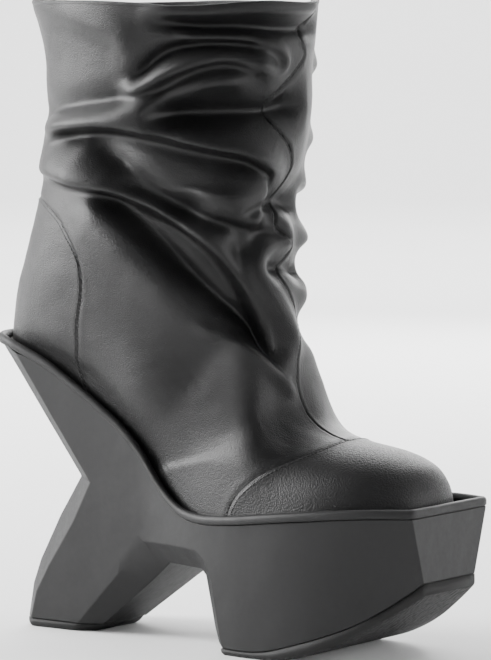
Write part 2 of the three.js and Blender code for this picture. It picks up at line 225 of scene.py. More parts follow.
seat_height = line([
    (-2, 139.4), (8, 138.9), (20.5, 136.7), (30, 133.2), (42, 128.3), (60, 118), (76, 107.8), (90, 97.5),
    (101, 86.6), (109, 77), (118, 68.6), (128, 63), (140, 60.9), (155, 61.4), (185, 64.8), (205, 67),
    (230, 69.2), (258, 70)])
sole_half = line([
    (-10, 31), (88, 31), (104, 31.8), (118, 35), (135, 40), (155, 44.6), (175, 47), (190, 47.6),
    (208, 46.4), (228, 42.2), (243, 36.4), (256, 31)])
wall_lean = line([
    (-10, 0.06), (60, 0.06), (130, 0.06), (170, 0.062), (210, 0.1), (230, 0.16), (245, 0.25), (258, 0.37)])
parting_height = line([
    (150, 3.1), (162, 3), (172, 3.2), (181, 4.4), (190, 6.8), (200, 9.8), (211, 13.6), (224, 18.9),
    (240, 28.9), (248, 34.9), (257, 42.5)])
toe_front = 253.5
MILLIMETRE = 0.001


def placed(points):
    """Millimetres from the back of the heel, as metres in the boot's own frame."""
    moved = np.array(points, float) * MILLIMETRE
    moved[:, 0] += heel_x
    return moved


def wall_half(x, z):
    return sole_half(x) - wall_lean(x) * np.maximum(seat_height(x) - z, 0)


def curved_run(function, start, end, step):
    count = max(1, round(abs(end - start) / step))
    return [(x, float(function(x))) for x in np.linspace(start, end, count + 1)]


# Corner by corner: (side-face x, z), (x, z) behind the bevel, depth of the bevel.
k_corners = [
    ((24.3, 134.3), (11.3, 138.8), 6.5), ((46.1, 103.2), (37.5, 102.2), 6.5),
    ((67.2, 74.1), (56.8, 75.9), 6.5), ((55.6, 54), (42.6, 55.5), 6.5), ((39.2, 31.3), (29.4, 32.9), 6.5),
    ((30.8, 17.7), (24.4, 21), 6.5), ((26.6, 4), (20.6, 4), 6.5),
    ((56, 4), (67.3, 4), 6.5), ((100.2, 48), (112.6, 38.2), 6.5), ((126, 48.2), (126, 38.2), 6.5),
    ((138, 47.8), (136.5, 38.2), 6.5), ((144, 44), (140.5, 35.5), 5.5), ((148.4, 34), (143.6, 25), 4.5),
    ((150.8, 20), (147.2, 12), 3.5), ((152.8, 8), (150.4, 5), 2.5),
]


def subdivided(corners, step=6.0):
    rows = []
    for (face_a, back_a, deep_a), (face_b, back_b, deep_b) in zip(corners, corners[1:]):
        count = max(1, round(math.dist(face_a, face_b) / step))
        for i in range(count):
            t = i / count
            rows.append((
                [p + (q - p) * t for p, q in zip(face_a, face_b)],
                [p + (q - p) * t for p, q in zip(back_a, back_b)],
                deep_a + (deep_b - deep_a) * t))
    rows.append(corners[-1])
    return rows


def sole_loops():
    rows = subdivided(k_corners)
    for x, z in curved_run(parting_height, 154.5, toe_front, 5):
        rows.append(((x, z), (x, z), 1.0))
    for x, z in curved_run(seat_height, toe_front, 24.3, 5)[:-1]:
        rows.append(((x, z), (x, z), 3.0))
    face = np.array([r[0] for r in rows], float)
    back = np.array([r[1] for r in rows], float)
    deep = np.array([r[2] for r in rows], float)
    half = wall_half(face[:, 0], face[:, 1])
    inner = wall_half(back[:, 0], back[:, 1]) - deep
    return face, half, back, inner


def inside_points(outline, step):
    """Grid points well inside a closed outline."""
    low, high = outline.min(0), outline.max(0)
    columns, levels = (np.arange(a, b, step) for a, b in zip(low, high))
    grid = np.array([(x, z) for x in columns for z in levels])
    ax, az = outline.T
    bx, bz = np.roll(outline, -1, 0).T
    px, pz = grid[:, 0, None], grid[:, 1, None]
    with np.errstate(divide="ignore", invalid="ignore"):
        crossing = ((az > pz) != (bz > pz)) & (px < (bx - ax) * (pz - az) / (bz - az) + ax)
    inside = crossing.sum(1) % 2 == 1
    length = np.maximum((bx - ax) ** 2 + (bz - az) ** 2, 1e-9)
    t = np.clip(((px - ax) * (bx - ax) + (pz - az) * (bz - az)) / length, 0, 1)
    gap = np.hypot(px - ax - t * (bx - ax), pz - az - t * (bz - az)).min(1)
    return grid[inside & (gap > step * 0.45)]


def sole_mesh():
    face, half, back, inner = sole_loops()
    count = len(face)
    extra = inside_points(face, 6)
    flat = [Vector(p) for p in np.vstack([face, extra])]
    loop = list(range(count))
    edges = [(i, (i + 1) % count) for i in loop]
    points, _, triangles, _, _, _ = geometry.delaunay_2d_cdt(flat, edges, [loop], 1, 1e-5)
    cap = np.array([tuple(p) for p in points])
    on_edge = np.arange(len(cap)) < count
    cap_half = np.where(on_edge, np.resize(half, len(cap)), wall_half(cap[:, 0], cap[:, 1]))
    # Above the leg the back of the heel is crowned, out to the rim.
    rear = (back[:, 1] > 77) & (back[:, 0] < 60)
    crown = np.interp(back[:, 1], [77, 100, 120, 138], [0, 2, 4, 9.6]) * rear
    sides = [
        np.column_stack([cap[:, 0], -cap_half, cap[:, 1]]),
        np.column_stack([back[:, 0], -inner, back[:, 1]]),
        np.column_stack([back[:, 0] - 0.8 * crown, -0.45 * inner, back[:, 1]]),
        np.column_stack([back[:, 0] - crown, 0 * inner, back[:, 1]]),
        np.column_stack([back[:, 0] - 0.8 * crown, 0.45 * inner, back[:, 1]]),
        np.column_stack([back[:, 0], inner, back[:, 1]]),
        np.column_stack([cap[:, 0], cap_half, cap[:, 1]]),
    ]
    starts = np.cumsum([0] + [len(s) for s in sides])
    faces = [tuple(t) for t in triangles]
    faces += [tuple(starts[6] + i for i in reversed(t)) for t in triangles]
    for a, b in zip(starts[:6], starts[1:7]):
        for i in range(count):
            j = (i + 1) % count
            faces.append((a + i, a + j, b + j, b + i))
    return np.vstack(sides), faces


def outward(piece):
    """Turns every face of a closed piece to face out."""
    shell = bmesh.new()
    shell.from_mesh(piece.data)
    bmesh.ops.recalc_face_normals(shell, faces=shell.faces)
    shell.to_mesh(piece.data)
    shell.free()
    return piece


def eased(piece, width, angle=28, segments=3):
    """Softens a moulding's hard edges, as its mould does."""
    bevel = piece.modifiers.new("eased_edges", "BEVEL")
    bevel.width = width * MILLIMETRE
    bevel.segments = segments
    bevel.limit_method = "ANGLE"
    bevel.angle_limit = math.radians(angle)
    bevel.harden_normals = True
    return piece


moulded = Finish("matt_polyurethane", 0.5, specular=0.25)
blush = moulded.noise(38, 4)
moulded.colour(moulded.blend(blush, (0.011, 0.011, 0.0113), (0.015, 0.015, 0.0153)))
moulded.roughness(0.46 + moulded.noise(420, 3) * 0.16)
mould_grain = moulded.bump(moulded.noise(2600, 2), 0.00005)
moulded.bump(moulded.noise(60, 2), 0.0006, mould_grain)

sole_points, sole_faces = sole_mesh()
platform = new_piece("platform", placed(sole_points), sole_faces, moulded.material)
outward(platform)
eased(platform, 0.7)
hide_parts("platform_unit")
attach(platform, "root")

# --- Outsole and top lift --------------------------------------------------------------------------
# Two black rubber pieces are cemented under the moulding: a forefoot outsole that curls up at the
# toe and carries a pebbled tread, and a top lift under the heel leg.
tread_height = line([
    (150, 0), (184, 0), (192, 1.4), (202, 3.9), (213, 8.2), (228, 16), (240, 23.8), (250, 31), (257, 36.6)])


def outsole_mesh():
    rings = []
    xs = [152.6, 153.4, 155] + list(np.linspace(159, 248, 26)) + [251, 252.8, 253.4]
    for x in xs:
        end = min(1.0, (x - 152) / 2.5)
        half = float(wall_half(x, parting_height(x))) - 1.6 * (1 - end)
        top = float(parting_height(x)) - 0.25
        bottom = max(float(tread_height(x)), 0) + 0.9 * (1 - end)
        corner = min(1.3, (top - bottom) * 0.4)
        side = [(-half, top), (-half - 0.1, (top + bottom) / 2), (-half, bottom + corner),
                (-half + 0.4 * corner, bottom + 0.35 * corner), (-half + corner, bottom)]
        across = [(y, bottom) for y in np.linspace(-half + corner, half - corner, 9)[1:-1]]
        ring = side + across + [(-y, z) for y, z in reversed(side)]
        ring += [(y, top) for y in np.linspace(half, -half, 9)[1:-1]]
        rings.append([(x, y, z) for y, z in ring])
    return lofted(rings)


def lofted(rings, closed=False):
    """Vertices and faces of a skin through equal rings."""
    count, total = len(rings[0]), len(rings)
    faces = []
    for r in range(total if closed else total - 1):
        n = (r + 1) % total
        for k in range(count):
            j = (k + 1) % count
            faces.append((r * count + k, r * count + j, n * count + j, n * count + k))
    if not closed:
        faces.append(tuple(range(count)))
        faces.append(tuple(range((total - 1) * count, total * count)))
    return [p for ring in rings for p in ring], faces


rubber = Finish("tread_rubber", 0.62, specular=0.3)
rubber.colour(rubber.blend(rubber.noise(60, 4), (0.008, 0.008, 0.008), (0.014, 0.014, 0.014)))
pebble = rubber.cells(430)
rubber.roughness(0.55 + pebble * 0.25)
rubber.bump(1 - pebble, 0.0007)

outsole_points, outsole_faces = outsole_mesh()
outsole = outward(new_piece("forefoot_tread", placed(outsole_points), outsole_faces, rubber.material))
edge_rubber = Finish("smooth_rubber", 0.6, specular=0.22)
edge_rubber.colour(edge_rubber.blend(edge_rubber.noise(50, 4), (0.009, 0.009, 0.009), (0.013, 0.013, 0.013)))
edge_rubber.bump(edge_rubber.noise(1500, 2), 0.00005)
outsole.data.materials.append(edge_rubber.material)
for polygon in outsole.data.polygons:
    polygon.material_index = 0 if polygon.normal.z < -0.5 else 1
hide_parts("forefoot_outsole")
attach(outsole, "root")


def top_lift_mesh():
    rings = []
    for z, inset in ((3.75, 0.0), (2.2, -0.15), (1.1, 0.0), (0.35, 0.6), (0.0, 1.6)):
        back_face, back_in, front_in, front_face = 26.6, 20.6, 67.0 - (4 - z), 56.0 - (4 - z)
        half = float(wall_half(40, z))
        corners = [
            (back_face, -half), (front_face, -half), (front_in, -half + 6.5), (front_in, half - 6.5),
            (front_face, half), (back_face, half), (back_in, half - 6.5), (back_in, -half + 6.5)]
        middle = np.mean(corners, 0)
        ring = []
        for a, b in zip(corners, corners[1:] + corners[:1]):
            for t in (0.06, 0.5, 0.94):
                p = np.array(a) * (1 - t) + np.array(b) * t
                ring.append((*(p - inset * (p - middle) / np.linalg.norm(p - middle)), z))
        rings.append(ring)
    return lofted(rings)


lift_points, lift_faces = top_lift_mesh()
top_lift = outward(new_piece("top_lift", placed(lift_points), lift_faces, edge_rubber.material))
top_lift.data.materials.append(rubber.material)
for polygon in top_lift.data.polygons:
    polygon.material_index = 1 if polygon.normal.z < -0.9 else 0
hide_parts("heel_top_lift")
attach(top_lift, "root")

# --- Rim band ----------------------------------------------------------------------------------------
# A raised, round-topped lip runs round the whole seat, a fine line above the walls, and hides the
# edge of the leather.
rim_half = [
    (0, 0), (0.9, 8.5), (3.6, 16.5), (8.6, 23.8), (15.5, 28.8), (25, 31.3), (45, 32), (70, 32), (92, 32),
    (104, 32.8), (118, 36), (135, 41), (155, 45.6), (175, 48), (190, 48.6), (208, 47.4), (228, 43),
    (243, 37), (251.8, 33.2), (253.2, 32), (253.9, 29), (254, 12)]


def smooth_path(points, count, closed=False):
    """Evenly spaced points along a Catmull-Rom curve through the given ones."""
    pts = np.array(points, float)
    if closed:
        pts = np.vstack([pts[-1], pts, pts[0], pts[1]])
    else:
        pts = np.vstack([2 * pts[0] - pts[1], pts, 2 * pts[-1] - pts[-2]])
    fine = []
    for a, b, c, d in zip(pts, pts[1:], pts[2:], pts[3:]):
        for t in np.linspace(0, 1, 12, endpoint=False):
            fine.append(0.5 * (2 * b + (c - a) * t + (2 * a - 5 * b + 4 * c - d) * t**2
                               + (3 * b - a - 3 * c + d) * t**3))
    fine.append(pts[-2])
    fine = np.array(fine)
    run = np.concatenate([[0], np.cumsum(np.linalg.norm(np.diff(fine, axis=0), axis=1))])
    at = np.linspace(0, run[-1], count, endpoint=not closed)
    return np.column_stack([np.interp(at, run, fine[:, k]) for k in range(fine.shape[1])])


def rim_mesh():
    half = smooth_path(rim_half, 130)
    outline = np.vstack([half, (half[1:] * [1, -1])[::-1]])
    profile = [(0.2, 0.15), (-0.25, 0.7), (-0.3, 2.6), (0.15, 3.7), (1.1, 4.35), (2.2, 4.35), (3.2, 3.7),
               (3.7, 2.4), (3.9, 0.3)]
    rings = []
    for i, p in enumerate(outline):
        along = outline[(i + 1) % len(outline)] - outline[i - 1]
        inwards = np.array([along[1], -along[0]]) / np.linalg.norm(along)
        ring = []
        for depth, up in profile:
            q = p + inwards * depth
            ring.append((q[0], q[1], float(seat_height(max(q[0], 0))) + up))
        rings.append(ring)
    return lofted(rings, closed=True)


rim_points, rim_faces = rim_mesh()
rim = outward(new_piece("rim_lip", placed(rim_points), rim_faces, moulded.material))
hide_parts("rim_band")
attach(rim, "root")

# --- Upper -------------------------------------------------------------------------------------------
# A soft leather boot: a slouched shaft that runs down into a plain round-toed foot, lasted over the
# seat. Four panels: outer side, inner side, heel and toe cap, sewn together.
# The leather is one skin first, a net of lines from the collar down to the sole edge.
AROUND, DOWN = 440, 270
foot_half = line([
    (5.4, 3), (8, 12), (13, 18.6), (22, 24), (34, 26.4), (60, 26.8), (95, 27.4), (118, 31), (135, 36),
    (155, 40.4), (175, 42.8), (190, 43.2), (207, 41.4), (222, 36.4), (234, 29.2), (241.5, 22.2),
    (245.6, 15.6), (248.2, 7)])
instep_height = line([
    (5.4, 158), (24, 168), (90, 170), (150, 168), (162, 160), (169, 140), (175, 119), (183, 108),
    (195, 102), (210, 98.6), (225, 96), (236, 92), (244, 86.6), (248.2, 80)])
# height, furthest back, furthest forward as seen from beside the toe, half width
shaft_rows = [
    (318, 13, 182, 53), (305, 14.2, 181.5, 53), (290, 18, 180, 52), (276, 22, 178, 50.6),
    (262, 21.6, 177.5, 50), (250, 21, 177.2, 49.5), (232, 19.5, 173.4, 47.8), (212, 17.4, 168, 46),
    (200, 14.4, 169.5, 45), (182, 8, 168.5, 43.8), (171, 4.2, 170.5, 43), (156, 0.5, 171, 39.6),
    (141, 0.5, 168, 36), (128, 30, 166, 32.6), (112, 62, 164, 30), (98, 85, 160, 28.5)]


def shaft_ring(z, turns):
    rows = np.array(shaft_rows[::-1], float)
    back, front, wide = (np.interp(z, rows[:, 0], rows[:, k]) for k in (1, 2, 3))
    deep = math.sqrt(((front - back) / 2) ** 2 - 0.49 * wide**2)
    turns = np.asarray(turns) * 2 * math.pi
    return np.column_stack([
        (back + front) / 2 - deep * np.cos(turns), -wide * np.sin(turns), np.full(len(turns), float(z))])


def last_body():
    """The closed form that the leather is stretched over."""
    turns = np.arange(48) / 48
    shaft_points, shaft_faces = lofted([shaft_ring(z, turns) for z in range(99, 319, 6)])
    foot = []
    rounder = line([
        (0, 0.62), (80, 0.64), (120, 0.78), (150, 0.98), (175, 1.0), (200, 0.88), (228, 0.72), (250, 0.62)])
    for x in (5.4, 6.4, 9, 14, 20, 32, 44, 60, 78, 92, 104, 126, 138, 148, 157, 166, 173, 180, 190, 200, 210,
              220, 228, 235, 240, 244, 246.6, 248.2):
        half, low, high = float(foot_half(x)), float(seat_height(x)) - 3, float(instep_height(x))
        ring = []
        for angle in np.linspace(0, math.pi, 25):
            power = float(rounder(x))
            across = math.copysign(abs(math.cos(angle)) ** (0.6 + 0.4 * power), math.cos(angle))
            ring.append((x, -half * across, low + (high - low) * max(math.sin(angle), 0) ** power))
        foot.append(ring)
    foot_points, foot_faces = lofted(foot)
    start = len(shaft_points)
    faces = shaft_faces + [tuple(i + start for i in face) for face in foot_faces]
    body = new_piece("last_body", np.vstack([shaft_points, foot_points]), faces, moulded.material)
    remesh = body.modifiers.new("joined", "REMESH")
    remesh.mode, remesh.voxel_size = "VOXEL", 2.4
    relax = body.modifiers.new("relaxed", "SMOOTH")
    relax.factor, relax.iterations = 0.5, 22
    graph = bpy.context.evaluated_depsgraph_get()
    tree = BVHTree.FromObject(body, graph)
    bpy.data.objects.remove(body)
    return tree


def leather_net():
    around, shaft_lines, foot_lines, settling_rounds = 72, 16, 20, 40
    turns = np.arange(around) / around
    heights = np.linspace(305, 172, shaft_lines)
    rows = [shaft_ring(z, turns) for z in heights]
    xs = [5.4, 6.5, 8, 10, 13, 17, 22, *np.arange(30, 236, 8), 238, 241.5, 244, 245.6, 247.2, 248.2]
    half = smooth_path([(x, float(foot_half(x)), 0) for x in xs], around // 2 - 1)
    outline = np.vstack([[5.2, 0, 0], half[1:-1] * [1, -1, 1], [248.6, 0, 0], half[1:-1][::-1]])
    outline = smooth_path(outline, around, closed=True)
    shift = np.argmin(outline[:, 0])
    outline = np.roll(outline, -shift, 0)
    outline[:, 2] = seat_height(outline[:, 0]) + 0.2
    for t in np.linspace(0, 1, foot_lines + 1)[1:]:
        rows.append(rows[shaft_lines - 1] * (1 - t) + outline * t)
    net = np.array(rows)
    body = last_body()
    for _ in range(settling_rounds):
        settled = (np.roll(net, 1, 1) + np.roll(net, -1, 1))[1:-1] + net[2:] + net[:-2]
        net[1:-1] = settled / 4
        for row in net[1:-1]:
            for i, point in enumerate(row):
                row[i] = body.find_nearest(Vector(point))[0]
    return net


def finer(net, down, around):
    """The same net with more lines, on smooth curves through the old ones."""
    def spline(grid, at, wrap):
        count = len(grid)
        i = np.floor(at).astype(int)
        t = (at - i)[:, None, None]
        a, b, c, d = (
            grid[(i + k) % count if wrap else np.clip(i + k, 0, count - 1)] for k in (-1, 0, 1, 2))
        return 0.5 * (2 * b + (c - a) * t + (2 * a - 5 * b + 4 * c - d) * t**2 + (3 * b - a - 3 * c + d) * t**3)
    tall = spline(net, np.linspace(0, len(net) - 1, down), False)
    wide = spline(tall.transpose(1, 0, 2), np.arange(around) * net.shape[1] / around, True)
    return wide.transpose(1, 0, 2)


def net_normals(net):
    across = np.roll(net, -1, 1) - np.roll(net, 1, 1)
    down = np.gradient(net, axis=0)
    normal = np.cross(down, across)
    return normal / np.linalg.norm(normal, axis=2, keepdims=True)


skin_net = finer(leather_net(), DOWN, AROUND)

# The folds of the slouched shaft. A fold runs along points [girth, drop]: girth is 0 at the middle
# of the back, 100 at the middle of the front by way of the outer side, 200 back round; drop is 0 at
# the collar and 100 at the sole. Then height in mm, and half width in mm above it and below it.
ridge_folds = [
    ([(8, 1), (34, 1.5), (50, 4), (54, 7), (57, 12)], 1.8, 9, 7),
    ([(64, 5), (70, 5.2), (77, 5.4), (86, 5.8), (92, 7.2), (94, 9.4), (90, 12)], 2.4, 2.4, 3),
    ([(50, 15), (57, 13.2), (63, 11), (69, 9.4), (77, 8.3), (84, 8.7), (89, 10.6), (88, 14)], 4.6, 5, 6),
    ([(16, 20), (27, 18.8), (36, 17.8), (50, 16.6), (60, 15.4), (66, 13.8), (71, 12.6), (77, 11.8),
      (88, 12.8)], 3.4, 4.5, 6),
    ([(22, 22), (30, 19.6), (44, 18.4), (60, 19.3), (68, 20.5), (77, 21.8), (86, 22.8), (93, 25.5), (96, 32)],
     3.8, 6, 3.6),
    ([(24, 23.6), (40, 24), (52, 24.6)], 2.4, 9, 9),
    ([(82, 21), (87, 24.4), (89.6, 27.6), (89.4, 30.4), (86, 34), (78, 40)], 7.5, 5, 34),
    ([(12, 25.4), (22, 26), (36, 27), (47, 28.2), (55, 30), (61, 31.6), (68, 34.4), (74, 37.4), (78, 41),
      (83, 47), (89, 56), (95, 66)], 6.4, 9, 4),
    ([(66, 52), (72, 55), (80, 59), (91, 64), (96, 67)], 1.8, 3, 4),
    ([(106, 35.6), (98, 36.6), (91, 38), (87, 41.5), (90, 46), (97, 53), (101, 60)], 3.6, 6, 6),
    ([(56, 1.2), (72, 1.4), (86, 1.4), (100, 1.2), (112, 1.6)], 2.4, 5, 4),
    ([(34, 29.5), (45, 33), (55, 38.2), (62, 44), (68, 50), (77, 56), (92, 65)], 3.0, 5, 16),
    ([(48, 44), (51, 54), (51, 66), (47, 80), (40, 98)], 4.6, 30, 30),
]
valley_folds = [
    ([(58, 2.6), (69, 3.7), (78, 4), (87, 4.5), (100, 4.6), (114, 4.4)], -4.8, 6, 2.6),
    ([(54, 13.6), (57, 11), (60, 9), (64, 7.6), (70, 6.8), (77, 6.6), (88, 7.4)], -4.8, 3, 4),
    ([(14, 18), (26, 17.2), (42, 16), (50, 15.2), (59, 14.2), (64, 12.7), (68, 11.4), (72, 10.4), (79, 10),
      (88, 11.6)], -4.0, 5, 3.4),
    ([(58, 17.6), (64, 17.3), (72, 17.1), (80, 17), (90, 16.8), (100, 16), (106, 15.6)], -11, 7, 6),
    ([(24, 23), (34, 21), (47, 20.4), (57, 21.4), (67, 22.8), (78, 24), (86, 25), (91.6, 27), (92.6, 30),
      (88, 36)], -4.8, 3, 7),
    ([(40, 21), (50, 24.6), (56, 27.4), (64, 30.4), (76, 33.6)], -5.4, 9, 11),
    ([(8, 28.2), (25, 28.8), (46, 30.6), (56, 33), (67, 36.2), (74, 39.6), (81, 46), (88, 56)], -3.6, 2.6, 9),
    ([(48, 26.8), (60, 29.8), (68, 32.2), (77, 34.2), (92, 36), (104, 36.2)], -4.6, 4, 6),
    ([(42, 28.5), (54, 33.5), (62, 38.5), (69, 44), (76, 50), (84, 56), (93, 63)], -5.6, 6, 6),
    ([(92, 52), (88, 59), (84, 67), (80, 76), (72, 90)], -4.4, 20, 40),
    ([(82, 34), (82, 41), (86, 48), (93, 60)], -4.4, 7, 7),
    ([(80, 33), (92, 31.4), (101, 31), (114, 32)], -6.0, 7, 4),
    ([(88, 42), (96, 42), (104, 42), (114, 44)], -3.6, 4, 4),
]
# The inner side and the back have folds of their own, and meet those of the outer side.
ridge_folds += [
    ([(116, 9), (124, 9.4), (132, 10.4), (142, 9.6), (160, 12)], 3.2, 7, 7),
    ([(112, 22), (120, 21), (130, 19.6), (142, 20.5), (156, 19), (176, 18)], 3.4, 7, 7),
    ([(110, 28), (118, 27.5), (130, 29), (144, 27), (160, 26), (180, 25), (196, 24.8)], 4.6, 8, 5),
    ([(108, 38.4), (116, 37.5), (126, 36), (138, 33.5), (154, 31), (176, 29)], 4.8, 8, 4.4),
    ([(106, 51), (114, 47.5), (122, 44), (134, 40), (150, 36)], 3.0, 7, 7),
    ([(122, 3), (142, 3.6), (158, 6.6), (168, 12)], 2.2, 9, 8),
    ([(172, 11), (188, 12.5), (202, 12), (216, 13)], 1.8, 8, 8),
    ([(148, 38), (146, 56), (152, 78)], 2.0, 13, 13),
]
valley_folds += [
    ([(118, 13.5), (126, 14.4), (134, 13.6), (146, 15), (164, 14.5)], -3.6, 6, 5),
    ([(116, 25), (126, 23.8), (136, 24.8), (150, 23), (174, 22)], -3.8, 5, 7),
    ([(112, 33.5), (124, 32.5), (138, 30.2), (156, 28.6), (178, 28), (200, 28), (216, 28.4)], -3.6, 4, 6),
    ([(112, 45), (122, 41.4), (134, 37.4), (152, 34)], -4.0, 4, 8),
    ([(110, 58), (120, 52), (136, 45), (154, 39)], -3.0, 8, 8),
    ([(138, 6), (150, 9), (160, 15)], -2.4, 7, 7),
    ([(172, 16.2), (190, 17), (204, 17.4), (222, 17)], -2.8, 7, 6),
    ([(132, 56), (127, 72), (132, 90)], -2.2, 14, 14),
]


def on_net(net, girth, drop):
    """The point of the net at each [girth, drop]."""
    down, around = net.shape[:2]
    a = np.asarray(girth, float) / 200 * around
    d = np.clip(np.asarray(drop, float) / 100 * (down - 1), 0, down - 1.001)
    i, j = np.floor(d).astype(int), np.floor(a).astype(int)
    s, t = (d - i)[..., None], (a - j)[..., None]
    j, k = j % around, (j + 1) % around
    return (net[i, j] * (1 - t) + net[i, k] * t) * (1 - s) + (net[i + 1, j] * (1 - t) + net[i + 1, k] * t) * s


def fold_shape(net, normal, points, height, above, below, sharp):
    """How far one fold lifts every point of the net, in millimetres."""
    path = smooth_path(points, 44)
    course = on_net(net, path[:, 0], path[:, 1])
    reach = 2.8 * max(above, below)
    low, high = course.min(0) - reach, course.max(0) + reach
    near = ((net > low) & (net < high)).all(2)
    here, facing = net[near], normal[near]
    best = np.full(len(here), 1e9)
    side, run = np.zeros(len(here)), np.zeros(len(here))
    for i, (a, b) in enumerate(zip(course, course[1:])):
        along = b - a
        t = np.clip((here - a) @ along / max(along @ along, 1e-6), 0, 1)
        away = here - a - t[:, None] * along
        distance = (away**2).sum(1)
        nearer = distance < best
        best = np.where(nearer, distance, best)
        side = np.where(nearer, (away * np.cross(along, facing)).sum(1), side)
        run = np.where(nearer, (i + t) / (len(course) - 1), run)
    share = np.sqrt(best) / np.where(side > 0, below, above)
    if sharp:
        profile = np.exp(-1.3 * (np.sqrt(share**2 + 0.08) - 0.283)) * np.clip(2.8 - share, 0, 1)
    else:
        profile = np.exp(-share**2)
    length = np.linalg.norm(np.diff(course, axis=0), axis=1).sum()
    ends = np.clip(np.minimum(run, 1 - run) * min(length / (1.7 * max(above, below)), 6), 0, 1)
    ends /= min(1, 0.5 * length / (1.7 * max(above, below)))
    lift = np.zeros(net.shape[:2])
    lift[near] = height * profile * ends * ends * (3 - 2 * ends)
    return lift


mm_per_unit = 2.1  # about one unit of girth or of drop


def signed_gap(points, girth, drop):
    """Distance in mm to a seam drawn through [girth, drop] points, positive on its left side."""
    course = smooth_path(points, 120) * mm_per_unit
    x, y = girth * mm_per_unit, drop * mm_per_unit
    best, side = np.full(x.shape, 1e9), np.zeros(x.shape)
    for (ax, ay), (bx, by) in zip(course, course[1:]):
        ux, uy = bx - ax, by - ay
        t = np.clip(((x - ax) * ux + (y - ay) * uy) / (ux * ux + uy * uy), 0, 1)
        px, py = x - ax - t * ux, y - ay - t * uy
        gap = px * px + py * py
        nearer = gap < best
        best = np.where(nearer, gap, best)
        side = np.where(nearer, np.sign(ux * py - uy * px), side)
    return np.sqrt(best) * side


# The seams between the panels, as points [girth, drop].
front_seam = [
    (106, -2), (107, 3), (104, 4.6), (101, 6), (103, 8.4), (100, 10.4), (95, 13.4), (91.5, 15.8), (92, 18),
    (96, 20.5), (99.5, 23), (101, 26), (100, 29), (97.5, 32), (95, 34.8), (100, 36.8), (104, 38.4),
    (101, 40.6), (96.5, 43), (98.5, 46.5), (101.6, 50), (101.6, 54), (98.6, 59), (97, 64), (97.6, 70),
    (98.4, 75), (99, 84), (99, 104)]
toe_seam = [
    (57, 106), (58.6, 101), (60.4, 97.6), (63.6, 93.8), (69, 89.6), (75, 86), (81, 82.8), (88, 79.8),
    (94, 77.9), (100, 77.3)]
toe_seam += [(200 - girth, drop) for girth, drop in toe_seam[-2::-1]]
heel_seam = [
    (27, 106), (27.4, 96), (28.4, 86), (30, 77), (34, 66), (37, 57.5), (40, 50), (41, 45), (40.4, 41.5),
    (37.6, 38), (32, 34.6), (22, 32.2), (10, 31.4), (0, 31.2)]
heel_seam += [(-girth, drop) for girth, drop in heel_seam[-2::-1]]


def seam_gaps(down, around):
    """Toe, heel and outer/inner side gaps over the whole net."""
    girth = np.arange(around)[None] * 200 / around + np.zeros((down, 1))
    drop = np.arange(down)[:, None] * 100 / (down - 1) + np.zeros((1, around))
    toe = signed_gap(toe_seam, girth, drop)
    heel = -signed_gap(heel_seam, np.where(girth > 100, girth - 200, girth), drop)
    front = -signed_gap(front_seam, girth, drop)
    # The outer and inner side also meet at the middle of the back, girth 0 and 200.
    from_back, to_back = girth * mm_per_unit, (200 - girth) * mm_per_unit
    outer = np.where(girth < 100, np.maximum(front, -from_back), np.minimum(front, to_back))
    outer = np.where(girth < 50, -np.minimum(np.abs(front), from_back), outer)
    outer = np.where(girth > 150, np.minimum(np.abs(front), to_back), outer)
    return toe, heel, outer


collar_wave = line([
    (0, -0.6), (25, 0), (45, -0.8), (68, -3), (86, -0.5), (100, -0.8), (108, 0.2), (125, -1.6), (150, -0.6),
    (175, -1.5), (200, -0.6)])


def slouched(net):
    """The net with its folds, and a groove along each seam."""
    most_lift = 14
    normal = net_normals(net)
    lift = np.zeros(net.shape[:2])
    for points, height, above, below in ridge_folds:
        lift += fold_shape(net, normal, points, height, above, below, False)
    for points, height, above, below in valley_folds:
        lift += fold_shape(net, normal, points, height, above, below, True)
    girth = np.arange(net.shape[1]) * 200 / net.shape[1]
    calmer_back = np.clip((np.minimum(girth, 200 - girth) - 14) / 26, 0, 1)
    lift = most_lift * np.tanh(lift * 1.5 / most_lift) * (0.28 + 0.72 * calmer_back)
    ripple = np.array([
        noise.noise(Vector((x * 0.03, y * 0.03, z * 0.05)))
        + 0.4 * noise.noise(Vector((x * 0.09, y * 0.09, z * 0.14)))
        for x, y, z in net.reshape(-1, 3)]).reshape(lift.shape)
    drop = np.linspace(0, 1, len(net))[:, None]
    lift += ripple * 0.5 * np.clip((0.95 - drop) * 4, 0, 1)
    made = net + normal * lift[..., None]
    # The folds hang: what stands proud sinks a little.
    made[..., 2] -= 0.28 * np.clip(lift, 0, 9) * np.clip(1.6 - 3.4 * drop, 0, 1)
    collar = np.clip(1 - drop * 14, 0, 1)
    made[..., 2] += collar * collar_wave(girth)
    for _ in range(3):
        ring = (np.roll(made, 1, 1) + np.roll(made, -1, 1)) / 2
        made[1:-1] = 0.5 * made[1:-1] + 0.25 * ring[1:-1] + 0.125 * (made[2:] + made[:-2])
    toe, heel, outer = seam_gaps(*net.shape[:2])
    normal = net_normals(made)
    groove = np.zeros(lift.shape)
    for gap, where, deep in ((toe, 1, 0.4), (heel, 1, 0.4), (outer, (toe < 0) & (heel < 0), 1.0)):
        edge = np.abs(gap)
        groove += where * (0.12 * np.exp(-((edge - 2.2) / 1.3) ** 2) - deep * np.exp(-(edge / 0.6) ** 2))
    groove += 0.2 * np.clip(toe + 0.5, 0, 1) + 0.15 * np.clip(heel + 0.5, 0, 1)
    return made + normal * groove[..., None], (toe, heel, outer)


